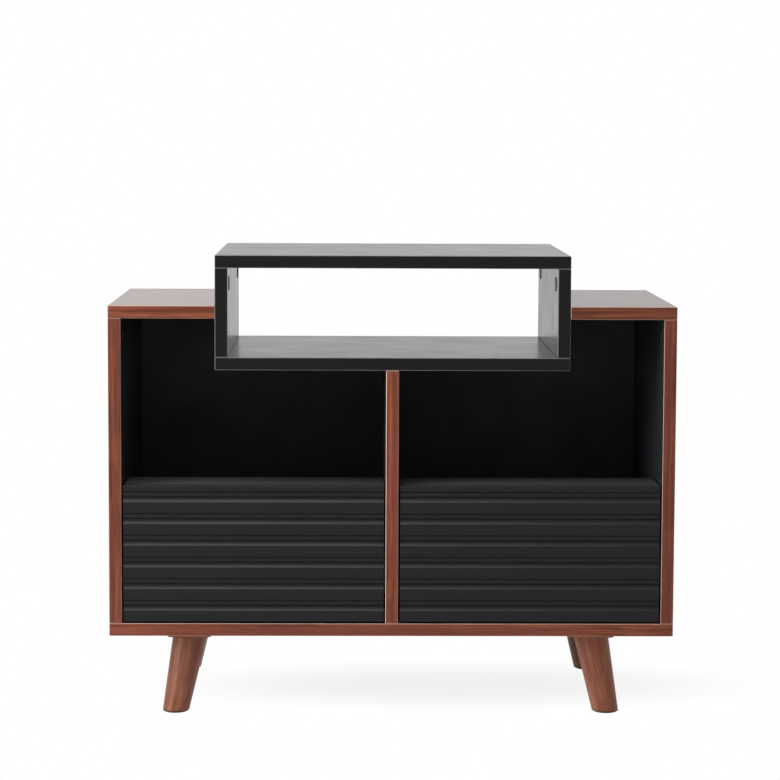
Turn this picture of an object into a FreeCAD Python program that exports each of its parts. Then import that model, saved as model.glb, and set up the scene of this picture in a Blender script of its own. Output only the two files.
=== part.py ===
import FreeCAD, Part
import os

# Record cabinet: two pull-out record drawers, an open raised bay and four splayed legs.
# Units are millimetres. +X is right, +Z is up and the front faces -Y. The origin is on the
# floor under the middle of the cabinet.

V = FreeCAD.Vector
RIGHT = V(1, 0, 0)
LEFT = V(-1, 0, 0)
FORWARD = V(0, -1, 0)
BACKWARD = V(0, 1, 0)
UP = V(0, 0, 1)
DOWN = V(0, 0, -1)

# ---- driving dimensions: carcass
cabinet_width = 800.0
cabinet_depth = 400.0
board = 18.0                    # thickness of every carcass board
side_height = 433.0             # side panels, between the bottom panel and the top boards
edge_break = 0.8                # chamfer on the boards' edges
band = 1.0                      # thickness of the walnut edge bands
back_panel = 3.0                # thickness of the two back panels
back_panel_inset = 2.0          # from a back panel's outer edges to the carcass's faces
back_panel_split = 1.0          # between the two back panels

# ---- driving dimensions: raised bay
riser_width = 500.0
riser_drop = 72.5               # from the top boards' underside to the riser's underside
riser_clear_height = 125.5

# ---- driving dimensions: legs
leg_height = 117.0              # floor to the underside of the bottom panel
foot_inset_x = 91.0             # foot centre to the cabinet's side
foot_inset_y = 44.0             # foot centre to the cabinet's front or back
leg_lean = 20.0                 # how far a leg's foot stands outside its top, both ways
leg_top_radius = 24.5
leg_foot_radius = 18.6
foot_round = 1.0
foot_pad = 1.2                  # thickness
foot_pad_inset = 2.5            # pad's edge to the foot's edge
leg_block = 8.5                 # thickness of the block between leg and bottom panel
leg_block_width = 62.0
leg_block_corner = 7.0
leg_bolt_radius = 4.0
leg_bolt_in_leg = 40.0
leg_bolt_above_block = 4.0
leg_insert_wall = 2.0
leg_screw_inset = 7.5           # screw to the block's edges
leg_screw_length = 20.0

# ---- driving dimensions: drawers
front_thickness = 18.0
front_height = 194.0
front_gap = 2.4                 # around a drawer front
front_top_round = 1.0
front_foot_round = 1.0
groove_pitch = 31.0
groove_first = 8.0              # top edge to the first groove
groove_height = 15.4
groove_lip_depth = 2.2          # under a groove's upper lip
bead_depth = 1.0                # at the middle of the round bead under the lip
bead_foot_depth = 1.3
bead_height = 6.9
cove_start = 8.6                # upper lip to the start of the cove
groove_depth = 3.8              # at the start of the cove
cove_hollow = 0.35              # how far the cove bulges inward of a straight slope
ledge_thickness = 18.0
ledge_reach = 82.0              # behind the drawer front
drawer_board = 12.0             # thickness of a drawer's sides and back
drawer_side_height = 145.0
drawer_floor = 6.0              # thickness of a drawer's bottom
drawer_floor_lift = 4.0         # side's lower edge to the bottom's underside
drawer_lift = 7.0               # bottom panel to a drawer side's lower edge
drawer_rear_gap = 19.0          # drawer to back panel
floor_groove_depth = 5.0
floor_groove_play = 0.2

# ---- driving dimensions: telescopic runners
runner_width = 12.7             # from carcass to drawer side
runner_height = 45.7
runner_rise = 62.0              # bottom panel to the runners' middle
runner_steel = 1.2
runner_end_gap = 5.0            # runner's ends to the drawer side's ends
runner_gap = 0.45               # between a ball cage's web and a member's web
runner_edge_gap = 2.0           # from a member's free edges to the next one's web
ball_gap = 3.8                  # between two members' flanges
ball_play = 0.3                 # between a ball and each flange
cage_steel = 0.6
cage_length = 150.0
cage_balls = 6                  # in each row
pocket_play = 0.1

# ---- driving dimensions: fasteners
bore_play = 0.1                 # radial, around every fastener
mouth_play = 1.0                # a countersunk bore's reach outside its board
tip_play = 0.5                  # beyond a fastener's tip
blind_skin = 7.0                # left behind a blind bore in a board's face
fastener_inset = 48.0           # cams and connecting screws to the front or back
dowel_step = 45.0               # from a cam or connecting screw to its dowel
dowel_radius = 4.0
dowel_in_edge = 20.0
small_dowel_radius = 3.0
small_dowel_inset = 18.0        # from a small dowel to the drawer side's edges
cam_radius = 7.5
cam_skin = 5.5                  # left behind a cam's pocket
cam_setback = 24.0              # cam's centre to the board's end
cam_recess = 0.3
cam_bolt_radius = 3.0
cam_bolt_grip = 3.0             # bolt's tip beyond the cam's centre
cover_radius = 10.0
cover_thickness = 1.2
connector_radius = 3.5
connector_head = 5.5
connector_length = 50.0
small_screw_radius = 1.75
small_screw_head = 3.0
back_screw_length = 15.0
back_screw_step = 130.0         # widest spacing along a back panel's edge
runner_screw_skin = 1.2         # from a runner screw's tip to the board's middle
runner_screw_inset = 40.0       # from a runner's end to its outermost screws
drawer_screw_length = 30.0
floor_screw_length = 22.0
bracket_leg = 20.0
bracket_width = 16.0
bracket_steel = 1.5
bracket_screw_spot = 12.5       # from the bracket's corner
bracket_screw_radius = 1.5
bracket_screw_head = 2.8
bracket_screw_head_height = 1.6
bracket_screw_length = 9.0
ledge_bracket_inset = 60.0      # from a ledge bracket's middle to the ledge's end
box_bracket_inset = 35.0        # from a box bracket's middle to the side's edges

# ---- derived planes
front_y = -cabinet_depth / 2
back_y = cabinet_depth / 2
carcass_back_y = back_y - back_panel
half_width = cabinet_width / 2
bottom_z = leg_height
bay_floor_z = bottom_z + board
side_top_z = bay_floor_z + side_height
cabinet_top_z = side_top_z + board
riser_z = side_top_z - riser_drop
riser_floor_z = riser_z + board
riser_ceiling_z = riser_floor_z + riser_clear_height
riser_top_z = riser_ceiling_z + board
half_riser = riser_width / 2
bay_outer_x = half_width - board
bay_inner_x = board / 2
fastener_ys = (front_y + fastener_inset, back_y - fastener_inset)

nodes = {}
bores = {}


# ---- shapes
def box(corner, opposite):
    """A box between two opposite corners."""
    low = V(*map(min, corner, opposite))
    high = V(*map(max, corner, opposite))
    size = high - low
    return Part.makeBox(size.x, size.y, size.z, low)


def broken_box(corner, opposite):
    """A box with its edges chamfered."""
    solid = box(corner, opposite)
    return solid.makeChamfer(edge_break, solid.Edges)


def face_slab(corner, opposite, outward, thickness):
    """The part of a box that lies within a thickness of the face that looks outward."""
    low = list(map(min, corner, opposite))
    high = list(map(max, corner, opposite))
    for axis, way in enumerate(outward):
        if way > 0:
            low[axis] = high[axis] - thickness
        if way < 0:
            high[axis] = low[axis] + thickness
    return box(V(*low), V(*high))


def outline(start, steps):
    """A closed face from a start point and its steps: an end point, or (via, end) for an arc."""
    edges = []
    here = start
    for step in steps:
        if isinstance(step, tuple):
            edges.append(Part.Arc(here, *step).toShape())
            here = step[-1]
        else:
            edges.append(Part.LineSegment(here, step).toShape())
            here = step
    edges.append(Part.LineSegment(here, start).toShape())
    return Part.Face(Part.Wire(edges))


def polygon(points):
    return Part.Face(Part.makePolygon(points + points[:1]))


def turned(profile, base, axis):
    """Revolve (radius, height) points and stand the result on base, along axis."""
    face = polygon([V(radius, 0, height) for radius, height in profile])
    solid = face.revolve(V(), UP, 360)
    solid.Placement = FreeCAD.Placement(base, FreeCAD.Rotation(UP, axis))
    return solid


def rod(base, axis, length, radius):
    return Part.makeCylinder(radius, length, base, axis)


def spread(low, high, widest):
    """Evenly spaced values from low to high, at most widest apart."""
    gaps = max(1, -int(-(high - low) // widest))
    return [low + (high - low) * step / gaps for step in range(gaps + 1)]


# ---- collecting pieces and bores
def add(node, *solids):
    nodes.setdefault(node, []).extend(solids)


def drill(tool, *boards):
    for name in boards:
        bores.setdefault(name, []).append(tool)


def add_board(node, corner, opposite, band_faces=()):
    """A carcass board. The faces in band_faces get an edge band of their own."""
    solid = broken_box(corner, opposite)
    for outward in band_faces:
        slab = face_slab(corner, opposite, outward, band)
        add("walnut_edge_bands", solid.common(slab))
        solid = solid.cut(slab)
    add(node, solid)


# ---- fasteners
def add_dowel(group, spot, into, edge_board, face_board, face_depth, radius=dowel_radius):
    """A dowel from a board's edge at spot, along into, and back into the other board's face."""
    length = face_depth + dowel_in_edge
    add(group, rod(spot - into * face_depth, into, length, radius))
    bore = rod(spot - into * (face_depth + tip_play), into, length + 2 * tip_play, radius + bore_play)
    drill(bore, edge_board, face_board)


def add_screw(group, spot, into, length, radius, head_radius, boards):
    """A countersunk screw with the top of its head flush at spot, driven along into."""
    head_depth = head_radius - radius
    profile = [(0, 0), (head_radius, 0), (radius, head_depth), (radius, length), (0, length)]
    add(group, turned(profile, spot, into))
    wide = radius + bore_play
    wide_head = head_radius + bore_play
    end = length + tip_play
    bore = [(0, -mouth_play), (wide_head, -mouth_play), (wide_head, 0), (wide, head_depth), (wide, end),
            (0, end)]
    drill(turned(bore, spot, into), *boards)


def add_pan_screw(group, spot, into, boards):
    """A pan-head screw that holds a bracket, with its head standing on the bracket at spot."""
    radius = bracket_screw_radius
    head = bracket_screw_head
    height = bracket_screw_head_height
    length = bracket_screw_length
    profile = [(0, -height), (head, -height), (head, 0), (radius, 0), (radius, length), (0, length)]
    add(group, turned(profile, spot, into))
    drill(rod(spot, into, length + tip_play, radius + bore_play), *boards)


def add_cam_joint(spot, into, face, cam_board, bolt_board):
    """A cam in one board's face that pulls on a bolt in the other board.

    spot is where the bolt crosses the joint, into points from there into the cam's board,
    and face points from that board's middle to the face that the cam sits in."""
    bolt_in_face = board - blind_skin
    start = spot - into * bolt_in_face
    length = bolt_in_face + cam_setback + cam_bolt_grip
    add("cam_bolts", rod(start, into, length, cam_bolt_radius))
    bolt_bore = rod(start - into * tip_play, into, length + 2 * tip_play, cam_bolt_radius + bore_play)
    drill(bolt_bore, cam_board, bolt_board)
    centre = spot + into * cam_setback
    surface = centre + face * (board / 2)
    pocket_depth = board - cam_skin
    cam = rod(surface - face * pocket_depth, face, pocket_depth - cam_recess, cam_radius)
    add("cam_locks", cam.cut(bolt_bore))
    drill(rod(surface - face * pocket_depth, face, board, cam_radius + bore_play), cam_board)
    add("cam_covers", rod(surface, face, cover_thickness, cover_radius))


def add_board_dowel(spot, into, edge_board, face_board):
    add_dowel("dowels", spot, into, edge_board, face_board, board - blind_skin)


def add_bracket(drawer, corner, first, second, across, first_board, second_board):
    """A bent bracket in the corner of two boards, with one screw in each.

    One leg lies along first on first_board, the other along second on second_board."""
    half = across * (bracket_width / 2)
    first_leg = box(corner - half, corner + half + first * bracket_leg + second * bracket_steel)
    second_leg = box(corner - half, corner + half + first * bracket_steel + second * bracket_leg)
    brackets = drawer + "_brackets"
    add(brackets, first_leg.fuse(second_leg).removeSplitter())
    screws = drawer + "_screws"
    spots = ((first, second, first_board), (second, first, second_board))
    for index, (along, away, name) in enumerate(spots):
        spot = corner + along * bracket_screw_spot + away * bracket_steel
        hole = rod(spot, away * -1, bracket_steel, bracket_screw_radius + bore_play)
        nodes[brackets][-1] = nodes[brackets][-1].cut(hole)
        add_pan_screw(screws, spot, away * -1, [name])


# ---- carcass
def add_carcass():
    outer_faces = {"left": LEFT, "right": RIGHT}
    bottom_low = V(-half_width, front_y, bottom_z)
    bottom_high = V(half_width, carcass_back_y, bay_floor_z)
    add_board("bottom_panel", bottom_low, bottom_high, (FORWARD, LEFT, RIGHT))
    for side, outward in outer_faces.items():
        outer = outward * half_width
        inner = outward * bay_outer_x
        low = outer + V(0, front_y, bay_floor_z)
        high = inner + V(0, carcass_back_y, side_top_z)
        add_board(side + "_side_panel", low, high, (FORWARD,))
        low = outer + V(0, front_y, side_top_z)
        high = outward * half_riser + V(0, carcass_back_y, cabinet_top_z)
        add_board(side + "_top_board", low, high, (FORWARD, outward))
    low = V(-bay_inner_x, front_y, bay_floor_z)
    high = V(bay_inner_x, carcass_back_y, riser_z)
    add_board("centre_divider", low, high, (FORWARD,))


def add_riser():
    low = V(-half_riser, front_y, riser_z)
    high = V(half_riser, carcass_back_y, riser_floor_z)
    add_board("riser_bottom_panel", low, high)
    low = V(-half_riser, front_y, riser_ceiling_z)
    high = V(half_riser, carcass_back_y, riser_top_z)
    add_board("riser_top_panel", low, high)
    for side, outward in (("left", LEFT), ("right", RIGHT)):
        low = outward * half_riser + V(0, front_y, riser_floor_z)
        high = outward * (half_riser - board) + V(0, carcass_back_y, riser_ceiling_z)
        add_board("riser_" + side + "_side", low, high)


def join_boards():
    """Cams, bolts, dowels and connecting screws of the carcass and the riser."""
    inward_step = {fastener_ys[0]: dowel_step, fastener_ys[1]: -dowel_step}
    for y, step in inward_step.items():
        pin = V(0, step, 0)
        cam_face = LEFT if y < 0 else RIGHT
        foot = V(0, y, bay_floor_z)
        join_upright("centre_divider", foot, pin, "bottom_panel")
        head = V(0, y, riser_z)
        add_cam_joint(head, DOWN, cam_face, "centre_divider", "riser_bottom_panel")
        add_board_dowel(head + pin, DOWN, "centre_divider", "riser_bottom_panel")
        for side, outward in (("left", LEFT), ("right", RIGHT)):
            panel = side + "_side_panel"
            top = side + "_top_board"
            riser_side = "riser_" + side + "_side"
            panel_x = outward * (half_width - board / 2)
            riser_x = outward * (half_riser - board / 2)
            join_upright(panel, panel_x + foot, pin, "bottom_panel")
            head = panel_x + V(0, y, side_top_z)
            add_cam_joint(head, DOWN, outward * -1, panel, top)
            add_board_dowel(head + pin, DOWN, panel, top)
            join_upright(riser_side, riser_x + V(0, y, riser_floor_z), pin, "riser_bottom_panel")
            head = riser_x + V(0, y, riser_ceiling_z)
            add_cam_joint(head, DOWN, outward * -1, riser_side, "riser_top_panel")
            add_board_dowel(head + pin, DOWN, riser_side, "riser_top_panel")
            end = outward * half_riser + V(0, y, side_top_z + board / 2)
            add_cam_joint(end, outward, DOWN, top, riser_side)
            add_board_dowel(end + pin, outward, top, riser_side)


def join_upright(upright, foot, pin, floor_board):
    """A connecting screw from below and a dowel, where an upright stands on a board."""
    head = foot - UP * board
    add_screw("connecting_screws", head, UP, connector_length, connector_radius, connector_head,
              [upright, floor_board])
    add_board_dowel(foot + pin, UP, upright, floor_board)


def add_back_panels():
    """Two stepped back panels, screwed to the rear edges of the boards."""
    outer = half_width - back_panel_inset
    inner = back_panel_split / 2
    step = half_riser - board / 2
    low = bottom_z + back_panel_inset
    middle = riser_z + board / 2
    high = cabinet_top_z - back_panel_inset
    screw_low = bottom_z + board / 2
    screw_high = side_top_z + board / 2
    screw_outer = half_width - board / 2
    screw_inner = (inner + bay_inner_x) / 2
    screw_middle = riser_z + board / 4
    for side, way in (("left", -1), ("right", 1)):
        node = side + "_back_panel"
        corners = [(outer, low), (inner, low), (inner, middle), (step, middle), (step, high), (outer, high)]
        face = polygon([V(way * x, carcass_back_y, z) for x, z in corners])
        add(node, face.extrude(V(0, back_panel, 0)))
        rows = [(x, screw_low, "bottom_panel") for x in spread(screw_inner, screw_outer, back_screw_step)]
        rows += [(screw_outer, z, side + "_side_panel")
                 for z in spread(screw_low, screw_high, back_screw_step)[1:-1]]
        rows += [(x, screw_high, side + "_top_board") for x in (screw_outer, half_riser + board / 2)]
        rows += [(x, screw_middle, "riser_bottom_panel")
                 for x in spread(screw_inner, half_riser - board, back_screw_step)[1:]]
        rows += [(screw_inner, z, "centre_divider")
                 for z in spread(screw_low, screw_middle, back_screw_step)[1:-1]]
        for x, z, name in rows:
            spot = V(way * x, back_y, z)
            add_screw("back_panel_screws", spot, FORWARD, back_screw_length, small_screw_radius,
                      small_screw_head, [node, name])


# ---- legs
def add_leg(name, way_x, way_y):
    """A tapered splayed leg with its pad, block, insert, bolt and screws."""
    leg_top_z = bottom_z - leg_block
    foot = V(way_x * (half_width - foot_inset_x), way_y * (-front_y - foot_inset_y), foot_pad)
    top = V(foot.x - way_x * leg_lean, foot.y - way_y * leg_lean, leg_top_z)
    fall = foot - top
    length = fall.Length
    down = fall / length
    spare = leg_top_radius
    taper = (leg_top_radius - leg_foot_radius) / length
    cone = Part.makeCone(leg_top_radius + taper * spare, leg_foot_radius - taper * spare,
                         length + 2 * spare, top - down * spare, down)
    reach = V(leg_block_width, leg_block_width, 0)
    leg = cone.common(box(foot - reach - leg_lean * V(1, 1, 0), top + reach + leg_lean * V(1, 1, 0)))
    foot_edges = [edge for edge in leg.Edges if edge.BoundBox.ZMax < foot_pad + foot_round]
    leg = leg.makeFillet(foot_round, foot_edges)
    add(name + "_leg", leg)
    add("foot_pads", rod(V(foot.x, foot.y, 0), UP, foot_pad, leg_foot_radius - foot_pad_inset))

    half = leg_block_width / 2
    block = box(top - V(half, half, 0), top + V(half, half, leg_block))
    uprights = [edge for edge in block.Edges if edge.BoundBox.ZLength > leg_block / 2]
    add(name + "_leg_block", block.makeFillet(leg_block_corner, uprights))

    bolt_end = top - down * ((leg_block + leg_bolt_above_block) / -down.z)
    bolt_length = (top + down * leg_bolt_in_leg - bolt_end).Length
    add("leg_bolts", rod(bolt_end, down, bolt_length, leg_bolt_radius))
    bolt_bore = rod(bolt_end - down * tip_play, down, bolt_length + 2 * tip_play,
                    leg_bolt_radius + bore_play)
    drill(bolt_bore, name + "_leg", "bottom_panel")
    insert_radius = leg_bolt_radius + leg_insert_wall
    sleeve = rod(bolt_end, down, bolt_length, insert_radius)
    add("leg_inserts", sleeve.common(block).cut(bolt_bore))
    drill(rod(bolt_end, down, bolt_length, insert_radius + bore_play), name + "_leg_block")
    offset = half - leg_screw_inset
    for x in (-offset, offset):
        for y in (-offset, offset):
            add_screw("leg_block_screws", top + V(x, y, 0), UP, leg_screw_length, small_screw_radius,
                      small_screw_head, [name + "_leg_block", "bottom_panel"])


# ---- drawers
def front_face(x):
    """A drawer front's outline with its coved grooves, in the plane at x."""
    top = bay_floor_z + front_gap + front_height
    foot = bay_floor_z + front_gap
    back = front_y + front_thickness

    def at(depth, drop):
        return V(x, front_y + depth, top - drop)

    rise = groove_height - cove_start
    slope = (rise ** 2 + groove_depth ** 2) ** 0.5
    cove_depth = groove_depth / 2 + cove_hollow * rise / slope
    cove_drop = (cove_start + groove_height) / 2 + cove_hollow * groove_depth / slope
    round_middle = front_top_round * (1 - 0.5 ** 0.5)
    steps = [(at(round_middle, round_middle), at(0, front_top_round))]
    grooves = 1 + int((front_height - groove_first - groove_height) // groove_pitch)
    for number in range(grooves):
        drop = groove_first + number * groove_pitch
        bead_foot = at(bead_foot_depth, drop + bead_height)
        steps += [
            at(0, drop),
            at(groove_lip_depth, drop),
            (at(bead_depth, drop + bead_height / 2), bead_foot),
            at(groove_depth, drop + cove_start),
            (at(cove_depth, drop + cove_drop), at(0, drop + groove_height)),
        ]
    foot_middle = front_foot_round * (1 - 0.5 ** 0.5)
    steps += [
        at(0, front_height - front_foot_round),
        (at(foot_middle, front_height - foot_middle), at(front_foot_round, front_height)),
        V(x, back, foot),
        V(x, back, top),
    ]
    return outline(at(front_top_round, 0), steps)


def add_drawer(name, middle_x):
    """The boards of one drawer, and what holds them together."""
    half_front = (bay_outer_x - bay_inner_x) / 2 - front_gap
    half_box = (bay_outer_x - bay_inner_x) / 2 - runner_width
    half_inside = half_box - drawer_board
    front_back_y = front_y + front_thickness
    rear_y = carcass_back_y - drawer_rear_gap
    ledge_back_y = front_back_y + ledge_reach
    front_top_z = bay_floor_z + front_gap + front_height
    ledge_z = front_top_z - ledge_thickness
    side_z = bay_floor_z + drawer_lift
    side_rim_z = side_z + drawer_side_height
    floor_z = side_z + drawer_floor_lift
    floor_top_z = floor_z + drawer_floor
    front = name + "_front"
    ledge = name + "_ledge"
    back = name + "_back"
    bottom = name + "_bottom"
    screws = name + "_screws"
    dowels = name + "_dowels"

    add(front, front_face(middle_x - half_front).extrude(V(2 * half_front, 0, 0)))
    add(ledge, broken_box(V(middle_x - half_front, front_back_y, ledge_z),
                          V(middle_x + half_front, ledge_back_y, front_top_z)))
    add(back, broken_box(V(middle_x - half_inside, rear_y - drawer_board, floor_top_z),
                         V(middle_x + half_inside, rear_y, side_rim_z)))
    reach = half_inside + floor_groove_depth
    groove_front_y = front_back_y - floor_groove_depth
    groove = box(V(middle_x - reach, groove_front_y, floor_z),
                 V(middle_x + reach, rear_y + tip_play, floor_top_z + floor_groove_play))
    play = V(floor_groove_play, floor_groove_play, 0)
    add(bottom, box(V(middle_x - reach, groove_front_y, floor_z) + play,
                    V(middle_x + reach - floor_groove_play, rear_y, floor_top_z)))
    drill(groove, front)

    front_bore = front_thickness - groove_depth - blind_skin / 2
    for side, way in (("left", -1), ("right", 1)):
        node = name + "_" + side + "_side"
        outer_x = middle_x + way * half_box
        inner_x = middle_x + way * half_inside
        corners = [(front_back_y, side_z), (rear_y, side_z), (rear_y, side_rim_z),
                   (ledge_back_y, side_rim_z), (ledge_back_y, ledge_z), (front_back_y, ledge_z)]
        face = polygon([V(outer_x, y, z) for y, z in corners])
        add(node, face.extrude(V(inner_x - outer_x, 0, 0)))
        drill(groove, node)
        inward = RIGHT * -way
        for z in (side_z + box_bracket_inset, side_rim_z - box_bracket_inset):
            corner = V(inner_x, front_back_y, z)
            add_bracket(name, corner, BACKWARD, inward, UP, node, front)
            spot = V(outer_x, rear_y - drawer_board / 2, z)
            add_screw(screws, spot, inward, drawer_screw_length, small_screw_radius,
                      small_screw_head, [node, back])
        for z in (side_z + small_dowel_inset, side_rim_z - small_dowel_inset):
            pin = V((outer_x + inner_x) / 2, front_back_y, z)
            add_dowel(dowels, pin, BACKWARD, node, front, front_bore, small_dowel_radius)
        corner = V(middle_x + way * (half_front - ledge_bracket_inset), front_back_y, ledge_z)
        add_bracket(name, corner, BACKWARD, DOWN, RIGHT, ledge, front)
    spacing = half_front - ledge_bracket_inset - bracket_leg
    for x in (middle_x - spacing, middle_x, middle_x + spacing):
        pin = V(x, front_back_y, ledge_z + ledge_thickness / 2)
        add_dowel(dowels, pin, BACKWARD, ledge, front, front_bore)
        spot = V(x, rear_y - drawer_board / 2, floor_z)
        add_screw(screws, spot, UP, floor_screw_length, small_screw_radius, small_screw_head,
                  [bottom, back])


# ---- runners
def channel(place, web, tip, half_height, steel, low_y, high_y):
    """A C-section along Y. place turns (distance from the wall, height) into a point at low_y."""
    way = 1 if tip > web else -1
    inside = web + way * steel
    inner_half = half_height - steel
    corners = [(web, half_height), (tip, half_height), (tip, inner_half), (inside, inner_half),
               (inside, -inner_half), (tip, -inner_half), (tip, -half_height), (web, -half_height)]
    face = polygon([place(distance, height, low_y) for distance, height in corners])
    return face.extrude(V(0, high_y - low_y, 0))


def ball_cage(place, web, tip, half_height, middle_y):
    """A bent strip with pockets along both flanges, and a ball in each pocket."""
    low_y = middle_y - cage_length / 2
    cage = channel(place, web, tip, half_height, cage_steel, low_y, low_y + cage_length)
    ball_radius = ball_gap / 2 - ball_play
    row = (web + cage_steel + tip) / 2
    pitch = cage_length / cage_balls
    balls = []
    pockets = []
    for height in (half_height - cage_steel / 2, cage_steel / 2 - half_height):
        for number in range(cage_balls):
            centre = place(row, height, low_y + pitch * (number + 0.5))
            balls.append(Part.makeSphere(ball_radius, centre))
            pockets.append(rod(centre - UP * ball_gap / 2, UP, ball_gap, ball_radius + pocket_play))
    return [cage.cut(pockets)] + balls


def add_runner(drawer, side, wall_x, way, wall_board):
    """One telescopic runner, from the carcass wall at wall_x towards the drawer along way."""
    low_y = front_y + front_thickness + runner_end_gap
    high_y = carcass_back_y - drawer_rear_gap - runner_end_gap
    middle_z = bay_floor_z + runner_rise

    def place(distance, height, y):
        return V(wall_x + way * distance, y, middle_z + height)

    half = runner_height / 2
    ring = runner_steel + ball_gap
    cage_web = runner_steel + runner_gap
    middle_web = cage_web + cage_steel + runner_gap
    inner_cage_web = middle_web + runner_steel + runner_gap
    inner_tip = inner_cage_web + cage_steel + runner_gap
    outer_tip = runner_width - runner_edge_gap
    middle_tip = outer_tip
    outer = channel(place, 0, outer_tip, half, runner_steel, low_y, high_y)
    middle = channel(place, middle_web, middle_tip, half - ring, runner_steel, low_y, high_y)
    inner = channel(place, runner_width, inner_tip, half - 2 * ring, runner_steel, low_y, high_y)
    middle_y = (low_y + high_y) / 2
    first_cage_half = half - runner_steel - ball_gap / 2 + cage_steel / 2
    outer_node = drawer + "_outer_runners"
    inner_node = drawer + "_inner_runners"
    add(drawer + "_outer_ball_cages",
        *ball_cage(place, cage_web, outer_tip - runner_steel, first_cage_half, middle_y))
    add(drawer + "_inner_ball_cages",
        *ball_cage(place, inner_cage_web, outer_tip - runner_steel, first_cage_half - ring, middle_y))
    add(drawer + "_middle_runners", middle)

    outward = V(-way, 0, 0)
    depth = runner_steel + board / 2 - runner_screw_skin
    screw_ys = (low_y + runner_screw_inset, middle_y, high_y - runner_screw_inset)
    drawer_side = drawer + "_" + side + "_side"
    outer_bores = []
    inner_bores = []
    for y in screw_ys:
        add_screw("runner_screws", place(runner_steel, 0, y), outward, depth, small_screw_radius,
                  small_screw_head, [wall_board])
        outer_bores.append(bores[wall_board][-1])
        add_screw(drawer + "_screws", place(runner_width - runner_steel, 0, y), V(way, 0, 0), depth,
                  small_screw_radius, small_screw_head, [drawer_side])
        inner_bores.append(bores[drawer_side][-1])
    add(outer_node, outer.cut(outer_bores))
    add(inner_node, inner.cut(inner_bores))


# ---- the whole cabinet
add_carcass()
add_riser()
join_boards()
add_back_panels()
for end, way_y in (("front", -1), ("back", 1)):
    for side, way_x in (("left", -1), ("right", 1)):
        add_leg(end + "_" + side, way_x, way_y)
for side, way in (("left", -1), ("right", 1)):
    drawer = side + "_drawer"
    add_drawer(drawer, way * (bay_outer_x + bay_inner_x) / 2)
    outer_side, inner_side = ("left", "right") if way < 0 else ("right", "left")
    add_runner(drawer, outer_side, way * bay_outer_x, -way, side + "_side_panel")
    add_runner(drawer, inner_side, way * bay_inner_x, way, "centre_divider")

os.makedirs("parts", exist_ok=True)
for node, solids in nodes.items():
    if node in bores:
        solids = [solid.cut(bores[node]) for solid in solids]
    whole = solids[0] if len(solids) == 1 else Part.makeCompound(solids)
    whole.exportStep("parts/" + node + ".step")
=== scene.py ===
import math
import bmesh
import bpy
from mathutils import Matrix, Vector


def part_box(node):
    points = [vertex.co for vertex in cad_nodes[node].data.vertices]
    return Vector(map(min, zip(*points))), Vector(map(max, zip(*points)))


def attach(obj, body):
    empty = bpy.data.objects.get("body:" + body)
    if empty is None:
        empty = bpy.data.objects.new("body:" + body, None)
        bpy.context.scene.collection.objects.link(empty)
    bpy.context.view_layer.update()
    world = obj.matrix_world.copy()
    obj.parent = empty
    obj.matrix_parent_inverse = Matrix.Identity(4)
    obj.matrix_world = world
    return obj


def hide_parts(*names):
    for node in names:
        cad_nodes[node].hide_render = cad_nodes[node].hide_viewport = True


# Record cabinet: the looks of its boards, grooved drawer fronts, raised bay and splayed legs.
# Lengths are in metres. +X is right, +Z is up and the front faces -Y.

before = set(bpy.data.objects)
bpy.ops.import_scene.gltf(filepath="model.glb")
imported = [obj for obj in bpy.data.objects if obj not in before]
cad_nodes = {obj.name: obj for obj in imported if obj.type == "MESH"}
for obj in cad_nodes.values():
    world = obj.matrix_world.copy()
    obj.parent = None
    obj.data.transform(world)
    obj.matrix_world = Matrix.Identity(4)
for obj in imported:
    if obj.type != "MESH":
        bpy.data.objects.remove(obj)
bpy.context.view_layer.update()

# ---- where the cabinet's main planes are
cabinet_half_width = 0.400
board = 0.018
bay_floor_z = 0.135
side_top_z = 0.568
front_y = -0.200
carcass_back_y = 0.197
leg_top_z = 0.1085

# ---- how far from a plane a point still counts as lying in the face there
black_face_reach = 0.0004
raw_edge_reach = 0.0002
end_band_reach = 0.0008
front_band_reach = 0.001
front_edge_reach = 0.004

# ---- legs
foot_spot = Vector((0.309, 0.156, 0.0012))
leg_lean = 0.020
leg_top_radius = 0.0245
leg_foot_radius = 0.0186
foot_round = 0.001
leg_rim = 64
block_corner = 0.007
block_edge_round = 0.0008

# ---- drawer fronts, in the plane of a front's end
groove_count = 6
groove_pitch = 0.031
groove_first = 0.008
groove_height = 0.0154
groove_lip_depth = 0.0022
bead_depth = 0.001
bead_foot_depth = 0.0013
bead_height = 0.0069
bead_steps = 6
cove_start = 0.0086
groove_depth = 0.0038
cove_hollow = 0.00035
cove_steps = 9
front_top_round = 0.001
front_top_steps = 5
front_foot_round = 0.001
front_foot_steps = 4
lip_round = 0.0007
floor_groove_depth = 0.005
ledge_rear_round = 0.0022
ledge_edge_round = 0.0006

# ---- cam covers, with shares of their radius and of their thickness
cover_radius = 0.010
cover_thickness = 0.0012
cover_rim = 48
cover_border_share = 0.22
cover_slope_share = 0.06
cover_dish_share = 0.2
cover_round_share = 0.4

# ---- screws, with shares of their radius and of their head
screw_rim = 24
tip_round_share = 0.5
recess_width = 0.0009
recess_reach_share = 0.62
recess_depth_share = 0.8
# each kind's CAD node, its shank's and its head's radius, and the way that its head faces
screw_kinds = [
    ("back_panel_screws", 0.00175, 0.003, (0, 1, 0)),
    ("leg_block_screws", 0.00175, 0.003, (0, 0, -1)),
    ("connecting_screws", 0.0035, 0.0055, (0, 0, -1)),
]

# ---- cutters, which are a little larger than what they cut
slot_play = 0.0002
cutter_overrun = 0.001

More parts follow.
